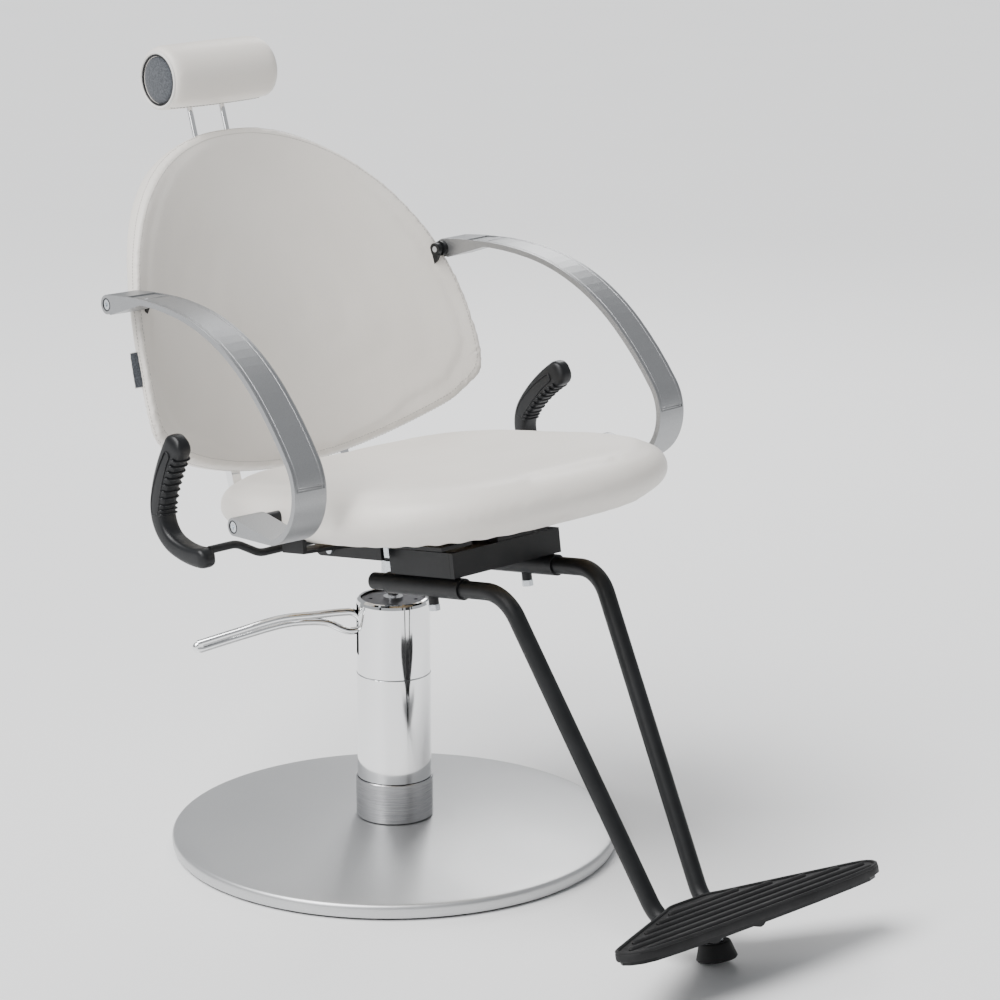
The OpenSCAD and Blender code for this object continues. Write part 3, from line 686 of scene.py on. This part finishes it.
def torus(radius, minor, height, place, around=96, sides=14):
    """Ring of round section about the z axis of place."""
    verts = [place((radius + minor * math.cos(b)) * math.cos(a), (radius + minor * math.cos(b)) * math.sin(a),
                   height + minor * math.sin(b))
             for a in (2 * math.pi * i / around for i in range(around))
             for b in (2 * math.pi * j / sides for j in range(sides))]
    faces = [(i * sides + j, i * sides + (j + 1) % sides, ((i + 1) % around) * sides + (j + 1) % sides,
              ((i + 1) % around) * sides + j) for i in range(around) for j in range(sides)]
    return verts, faces


# ---------------------------------------------------------------- rounded metal parts

# Lines of the arm's inlay: half width, wire radius, range of headings, height of the cross line.
INLAY_HALF, INLAY_WIRE, INLAY_HEADINGS, INLAY_CROSS = 17.2, 0.3 * MM, (175, 265), 568


def rounded(node, name, material, body, width):
    """A metal part with its sharp edges broken: flat facets merged, then every edge rounded."""
    source = bpy.data.objects[node]
    obj = bpy.data.objects.new(name, source.data.copy())
    bpy.context.scene.collection.objects.link(obj)
    bm = bmesh.new()
    bm.from_mesh(obj.data)
    bmesh.ops.remove_doubles(bm, verts=bm.verts, dist=0.01 * MM)
    bmesh.ops.dissolve_limit(bm, angle_limit=math.radians(0.6), verts=bm.verts, edges=bm.edges)
    bm.to_mesh(obj.data)
    bm.free()
    obj.data.materials.clear()
    obj.data.materials.append(material)
    bevel(obj, width, 3, 30)
    m = obj.modifiers.new("normals", "WEIGHTED_NORMAL")
    m.keep_sharp = True
    apply_modifier(obj, "normals")
    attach(obj, body)
    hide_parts(node)


def arm(word):
    """The cast arm: the CAD mesh with its edges broken."""
    rounded(f"arm_{word}", f"arm_{word}_casting", ALUMINIUM, "seat_unit", 0.9 * MM)


def inlay_lines(side, word):
    """Fine bright lines that frame the recessed strip along the arm, and its cross line."""
    first, last = INLAY_HEADINGS
    chain = [q for q in arc_chain(ARM_START, ARM_HEADING, ARM_ARCS) if first <= q[2] <= last]
    parts = []
    for x in (-INLAY_HALF, INLAY_HALF):
        parts.append(tube([in_arm(side, x, q[0], q[1]) for q in chain], INLAY_WIRE, 8))
    for at in (chain[1], min(chain, key=lambda q: abs(q[1] - INLAY_CROSS)), chain[-2]):
        parts.append(tube([in_arm(side, x, at[0], at[1]) for x in (-INLAY_HALF, 0, INLAY_HALF)], INLAY_WIRE, 8))
    make(f"arm_{word}_inlay_lines", *join(parts), PIPED_METAL, "seat_unit", (), 180, "satin_aluminium")


# ---------------------------------------------------------------- levers and pedal

# Middle line of a grip as (radius, turn) arcs, its hub (y, z) and how far out it stands.
GRIP_ARCS = [(120, 24), (44, 84), (210, 22)]
GRIP_HUB = (-22, 451)
GRIP_X = 320


def grip_half(f):
    """Half height of a grip at a fraction along it."""
    return 12.5 - 1.5 * math.sin(math.pi * min(1, f * 1.6)) + 4.5 * max(0, f - 0.35) / 0.65


def lever(side, word, shaft_v, grip_at, move, turn):
    """Cranked steel shaft with a moulded grip; turn (degrees) leans the grip forward."""
    body = f"{word}_lever"
    axis = tilted(SEAT, 0, shaft_v, 7)
    knee = Vector((0, grip_at[0] * MM, grip_at[1] * MM))

    def at(x, p):
        return Vector((side * x * MM, p.y, p.z))

    shaft = round_tube([at(87, axis), at(238, axis), at(272, knee), at(314, knee)], 5 * MM, 9 * MM)
    c, s = math.cos(math.radians(turn)), math.sin(math.radians(turn))

    def place(x, y, z):
        dy, dz = y - GRIP_HUB[0], z - GRIP_HUB[1]
        return Vector((side * x, GRIP_HUB[0] + move[0] + dy * c - dz * s, GRIP_HUB[1] + move[1] + dy * s + dz * c)) * MM

    chain = arc_chain((-20, 448), -6, GRIP_ARCS, 3)
    lengths = [0]
    for a, b in zip(chain, chain[1:]):
        lengths.append(lengths[-1] + math.dist(a[:2], b[:2]))
    rings = []
    first, last = chain[0], chain[-1]
    stations = [(first[0] - 12 * math.cos(t), first[1], first[2], math.sin(t), 0.0) for t in (0.15, 0.45, 0.8, 1.2)]
    stations += [(q[0], q[1], q[2], 1.0, n / lengths[-1]) for q, n in zip(chain, lengths)]
    h = math.radians(last[2])
    stations += [(last[0] + 14 * math.sin(t) * math.cos(h), last[1] + 14 * math.sin(t) * math.sin(h), last[2],
                  math.cos(t), 1.0) for t in (0.3, 0.6, 0.9, 1.15, 1.35)]
    for y, z, heading, size, f in stations:
        half = grip_half(f) * size
        wide = (12.0 + 1.5 * math.sin(math.pi * f)) * (0.35 + 0.65 * size)
        a = math.radians(heading)
        ring = []
        for k in range(32):
            t = 2 * math.pi * k / 32
            u = math.copysign(abs(math.cos(t)) ** 0.55, math.cos(t)) * half
            x = math.copysign(abs(math.sin(t)) ** 0.55, math.sin(t)) * wide
            ring.append(place(GRIP_X + x, y - u * math.sin(a), z + u * math.cos(a)))
        rings.append(ring)
    make(f"lever_{word}_grip", *skin(rings), PLASTIC, body, (), 60, "plastic_black")
    make(f"lever_{word}_shaft", *shaft, BLACK, body, [f"lever_{word}"], 60, "plastic_black")
    grip_ribs(word, body, place, chain, lengths)
    grip_panels(word, body, place, chain, lengths)


def grip_ribs(word, body, place, chain, lengths):
    """Rounded ribs across the front edge of the hand part."""
    parts = []
    for n in range(11):
        f = 0.5 + 0.045 * n
        q = min(zip(chain, lengths), key=lambda item: abs(item[1] / lengths[-1] - f))[0]
        a = math.radians(q[2])
        half = grip_half(f)
        line = []
        for k in range(9):
            t = math.pi * (k / 8 - 0.5)
            u = half * (0.62 + 0.40 * math.cos(t) ** 0.5) if abs(math.cos(t)) > 1e-6 else half * 0.62
            line.append(place(GRIP_X + 13.2 * math.sin(t), q[0] - u * math.sin(a), q[1] + u * math.cos(a)))
        parts.append(tube(line, 1.5 * MM, 8))
    make(f"lever_{word}_ribs", *join(parts), PLASTIC, body, (), 180, "plastic_black")


def grip_panels(word, body, place, chain, lengths):
    """Raised oval line round the smooth panel on both faces of the hand part."""
    hand = [q for q, n in zip(chain, lengths) if 0.5 <= n / lengths[-1] <= 0.98]
    parts = []
    for face in (-1, 1):
        edge = []
        for sign, run in ((1, hand), (-1, list(reversed(hand)))):
            for i, q in enumerate(run):
                f = i / (len(run) - 1)
                w = 7.5 * math.sin(math.pi * (0.12 + 0.76 * f)) ** 0.5 * sign
                a = math.radians(q[2])
                edge.append(place(GRIP_X + face * 13.1, q[0] - w * math.sin(a), q[1] + w * math.cos(a)))
        loop = smoothed(edge + [edge[0]], 3)
        parts.append(tube(loop, 0.7 * MM, 8))
    make(f"lever_{word}_panel_lines", *join(parts), PLASTIC, body, (), 180, "plastic_black")


# Pump pedal: direction it points in (degrees) and its pivot (distance out, height).
PEDAL_HEADING, PEDAL_PIVOT = 148, (34, 294)


def pedal():
    """Two bent rods joined at the tip and by a web, with the pivot eye."""
    heading = math.radians(PEDAL_HEADING)

    def at(r, z, off=0):
        return Vector((r * math.cos(heading) - off * math.sin(heading), r * math.sin(heading) + off * math.cos(heading),
                       z)) * MM

    upper = tube(smoothed([at(36, 296), at(50, 311), at(66, 313.2), at(105, 311.3), at(148, 308.6), at(200, 295.5),
                           at(252, 281.4)], 8), 5 * MM, 20)
    lower = tube(smoothed([at(37, 290), at(54, 287.5), at(67, 291), at(86, 300.3), at(112, 303), at(146, 300.4),
                           at(200, 287.4), at(250, 274)], 8), 4.8 * MM, 20)
    tip = tube(smoothed([at(246, 281), at(252.5, 279.6), at(254.5, 277.4), at(252, 275.2), at(245, 275.4)], 8),
               4.9 * MM, 20)
    web = tube([at(112, 306.5), at(126, 306.2), at(142, 304.8)],
               lambda f: (2.5 + 2.2 * math.sin(math.pi * f)) * MM, 14)
    eye = lathe([(4.2, -7), (8, -7), (9, -6), (9, 6), (8, 7), (4.2, 7)],
                lambda a, b, h: at(PEDAL_PIVOT[0] + a, PEDAL_PIVOT[1] + b, h), 48)
    make("pedal_rods", *join([upper, lower, tip, web, eye]), CHROME, "pedal", ["pump_pedal"], 60, "chrome")


# ---------------------------------------------------------------- base and footrest

# Base dome: radius of its bore, radius of its flat middle and height there, fall from there to its rim.
DOME_BORE, DOME_FLAT, DOME_HEIGHT, DOME_FALL = 22.2, 54, 36.6, 15.2


def base_cover():
    """The painted dome over the floor disc, as wide as the CAD cover."""
    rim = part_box("base_cover")[1][0] / MM
    profile = [(DOME_BORE, 36.7), (50, 36.7), (DOME_FLAT, DOME_HEIGHT)]
    profile += [(DOME_FLAT + (rim - 62) * k / 14, DOME_HEIGHT - DOME_FALL * (k / 14) ** 1.55) for k in range(1, 15)]
    profile += [(rim - 5 + 5 * math.sin(math.radians(a)), 14.5 + 6.2 * math.cos(math.radians(a)))
                for a in range(8, 91, 10)]
    profile += [(rim, 11), (rim - 1, 6), (rim - 2.6, 3.2), (rim - 6, 3.1), (DOME_BORE, 3.4)]
    make("base_dome", *lathe(profile, lambda x, y, z: Vector((x, y, z)) * MM, 192), SATIN, "base",
         ["base_cover"], 40, "satin_silver")


# Raised ribs of the footrest's rubber: how many, where the first lies and how far apart they are.
RIB_COUNT, RIB_FIRST, RIB_STEP = 6, -31, 19.2


def footplate():
    """Rubber cover of the footrest: slab, ribs and rounded rim."""
    half = [(0, 0), (24, 0), (33, -1.4), (41, -5), (50, -11), (100, -36), (160, -66.5), (203, -88.5), (212, -94.5),
            (217, -102), (217.6, -109), (214, -118), (205, -127), (190, -133), (150, -137), (80, -140.6), (0, -142)]
    outline = [Vector(p) for p in half] + [Vector((-x, y)) for x, y in reversed(half[1:-1])]
    levels = [(0.9, -12), (0, -11), (0, -4.4), (0.7, -3), (2.2, -2.4)]
    middle = Vector((0, -85))
    rings = []
    for inset, z in levels:
        rings.append([tilted(PLATE, *(q - (q - middle).normalized() * inset), z) for q in outline])
    parts = [skin(rings)]
    for i in range(RIB_COUNT):
        y = RIB_FIRST - RIB_STEP * i
        reach = min(199 - 6 * max(0, i - 4), 58 + 39 * i)
        line = [(-reach, -3.2), (-reach + 1.2, -2.2)]
        line += [(-reach + 4 + (2 * reach - 8) * k / 20, -1.9) for k in range(21)]
        line += [(reach - 1.2, -2.2), (reach, -3.2)]
        parts.append(tube([tilted(PLATE, x, y, z) for x, z in line], 3.6 * MM, 12, squash=lambda f: (1, 0.62)))
    rim = [tilted(PLATE, *(q - (q - middle).normalized() * 3.4), -2.1) for q in outline]
    parts.append(tube(rim + rim[:1], 2.3 * MM, 8))
    make("footplate_rubber", *join(parts), RUBBER, "footrest", ["footplate_mat"], 40, "rubber_black")


# Side tag: lower end and length along the back's edge.
TAG_FROM, TAG_LENGTH = 138, 44


def back_tag():
    """Blank woven tag folded over the back's edge seam."""
    verts, faces = [], []
    rows = 14
    for i in range(rows + 1):
        t = TAG_FROM + TAG_LENGTH * i / rows
        edge = max(back_outline(), key=lambda q: -abs(q.y - t) - (1000 if q.x > 0 else 0))
        for x, y in ((1.5, -0.6), (-9.5, 0.2), (-10.3, 1.0), (-9.5, 1.8), (1.5, 1.6)):
            s = edge.x + x
            verts.append(tilted(BACK, s, front_face(edge.x) + 9 + y, t))
    for i in range(rows):
        faces += [(i * 5 + j, i * 5 + j + 1, i * 5 + j + 6, i * 5 + j + 5) for j in range(4)]
    make("side_tag", verts, faces, FELT, "seat_unit", ["back_tag"], 60, "tag_fabric")
    rim = []
    for i in (0, rows):
        rim.append(tube([verts[i * 5 + j] for j in range(5)], 0.5 * MM, 6))
    rim.append(tube([verts[i * 5 + 2] for i in range(rows + 1)], 0.5 * MM, 6))
    make("side_tag_border", *join(rim), PIPING, "seat_unit", (), 180, "white_leather")


# ---------------------------------------------------------------- stage

# Main camera: place (m), heading and downward pitch (degrees), focal length (mm).
CAMERA_AT = (-2.8068, -3.2065, 1.5878)
CAMERA_AZIMUTH, CAMERA_PITCH, LENS = -43.04, 14.85, 124.56
FLOOR_HALF = 14


def stage():
    """Floor, studio light, two dark cards for the metal to mirror, and the camera."""
    mesh = bpy.data.meshes.new("floor")
    corners = [(x * FLOOR_HALF, y * FLOOR_HALF, 0) for x, y in ((-1, -1), (1, -1), (1, 1), (-1, 1))]
    mesh.from_pydata(corners, [], [(0, 1, 2, 3)])
    floor = bpy.data.objects.new("floor", mesh)
    bpy.context.scene.collection.objects.link(floor)
    paint = Nodes("floor_paint", (0.9, 0.9, 0.9), 0.6)
    paint.rough(paint.noise(3, 2), 0.55, 0.65)
    mesh.materials.append(paint.material)

    world = bpy.data.worlds.new("studio")
    bpy.context.scene.world = world
    world.use_nodes = True
    world.node_tree.nodes["Background"].inputs["Color"].default_value = (0.95, 0.97, 1, 1)
    world.node_tree.nodes["Background"].inputs["Strength"].default_value = 0.5

    def light(name, kind, at, aim, energy, **values):
        data = bpy.data.lights.new(name, kind)
        data.energy = energy
        for key, value in values.items():
            setattr(data, key, value)
        lamp = bpy.data.objects.new(name, data)
        lamp.location = at
        lamp.rotation_euler = (Vector(aim) - Vector(at)).to_track_quat("-Z", "Y").to_euler()
        bpy.context.scene.collection.objects.link(lamp)

    light("sun", "SUN", (-1.5, 0.3, 3.2), (0, 0, 0.4), 4.2, angle=math.radians(40))
    light("key", "AREA", (-2.8, -0.4, 2.3), (0, 0, 0.6), 40, shape="RECTANGLE", size=0.9, size_y=2.0)
    light("rim", "AREA", (2.4, 1.8, 2.4), (0, 0, 0.6), 34, shape="RECTANGLE", size=0.9, size_y=1.8)

    shade_card = Nodes("card_black", (0.015, 0.015, 0.016), 0.8)
    for word, at, width in (("right", (0.3, -4.2, 1.0), 1.1), ("left", (-4.4, -0.6, 1.0), 0.5)):
        out = Vector((at[0], at[1], 0)).normalized()
        across = Vector((-out.y, out.x, 0)) * width / 2
        mesh = bpy.data.meshes.new(f"card_{word}")
        mesh.from_pydata([Vector(at) + across * i + Vector((0, 0, j)) for i, j in
                          ((-1, -0.9), (1, -0.9), (1, 1.3), (-1, 1.3))], [], [(0, 1, 2, 3)])
        card = bpy.data.objects.new(f"card_{word}", mesh)
        bpy.context.scene.collection.objects.link(card)
        mesh.materials.append(shade_card.material)

    camera = bpy.data.objects.new("camera", bpy.data.cameras.new("camera"))
    camera.data.lens, camera.data.sensor_width, camera.data.clip_end = LENS, 36, 60
    camera.location = CAMERA_AT
    camera.rotation_euler = (math.radians(90 - CAMERA_PITCH), 0, math.radians(CAMERA_AZIMUTH))
    bpy.context.scene.collection.objects.link(camera)
    bpy.context.scene.camera = camera


dress_frame()
base_cover()
seat_cushion()
back_cushion()
back_tag()
headrest_roll()
headrest_caps()
for arm_side, arm_word in ((1, "left"), (-1, "right")):
    arm(arm_word)
    inlay_lines(arm_side, arm_word)
lever(-1, "right", 39.8, (-22, 457), (0, 0), 0)
lever(1, "left", 90, (32, 443), (53, -16), 24)
pedal()
footplate()
stage()
